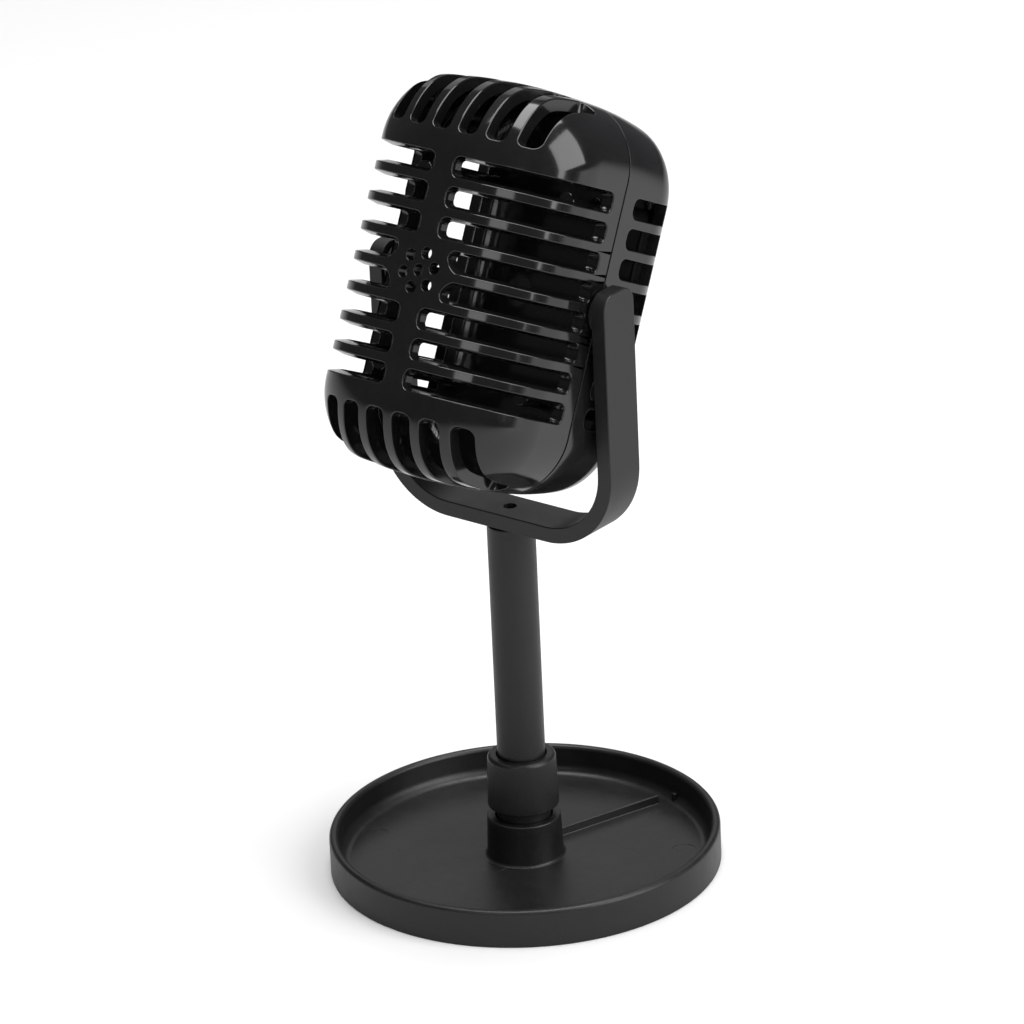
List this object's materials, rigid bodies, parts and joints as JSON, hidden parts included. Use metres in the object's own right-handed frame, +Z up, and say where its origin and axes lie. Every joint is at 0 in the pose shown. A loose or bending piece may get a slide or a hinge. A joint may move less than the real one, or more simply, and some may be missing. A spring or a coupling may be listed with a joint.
{
  "type": "toy microphone",
  "caption": "Toy stage microphone: slotted two-shell head tilting in a U-shaped yoke on a round pole that turns in a shallow dish base.",
  "frame": {"origin": "centre of the dish base's underside, on the pole's axis", "axes": "+Z up along the pole, the head faces -Y, the yoke's arms are at -X (left) and +X (right); at rest the head leans back 25.8 degrees about the yoke's pivots"},
  "size_m": [0.1094, 0.1094, 0.2305],
  "materials": {
    "gloss_black": "polished injection-moulded black plastic",
    "satin_black": "satin black plastic",
    "base_black": "fine-textured satin black plastic",
    "black_nylon": "plain black nylon",
    "zinc_steel": "zinc-plated steel"
  },
  "bodies": {
    "base": {"base_tray": "base_black"},
    "stand": {"swivel_screw": "zinc_steel", "swivel_washer": "zinc_steel", "pole_collar": "satin_black", "pole_tube": "satin_black", "pole_top_plug": "black_nylon", "yoke": "satin_black", "yoke_screw": "zinc_steel", "pivot_pin_left": "zinc_steel", "pivot_pin_right": "zinc_steel", "pivot_washer_left": "black_nylon", "pivot_washer_right": "black_nylon"},
    "head": {"front_shell": "gloss_black", "rear_shell": "gloss_black", "shell_screw_1": "zinc_steel", "shell_screw_2": "zinc_steel", "shell_screw_3": "zinc_steel", "shell_screw_4": "zinc_steel"}
  },
  "joints": [
    {"name": "base_swivel", "type": "hinge", "parent": "base", "child": "stand", "pos_m": [0, 0, 0.012], "axis": [0, 0, 1], "continuous": true},
    {"name": "head_tilt", "type": "hinge", "parent": "stand", "child": "head", "pos_m": [0, 0, 0.1716], "axis": [1, 0, 0], "continuous": true}
  ]
}
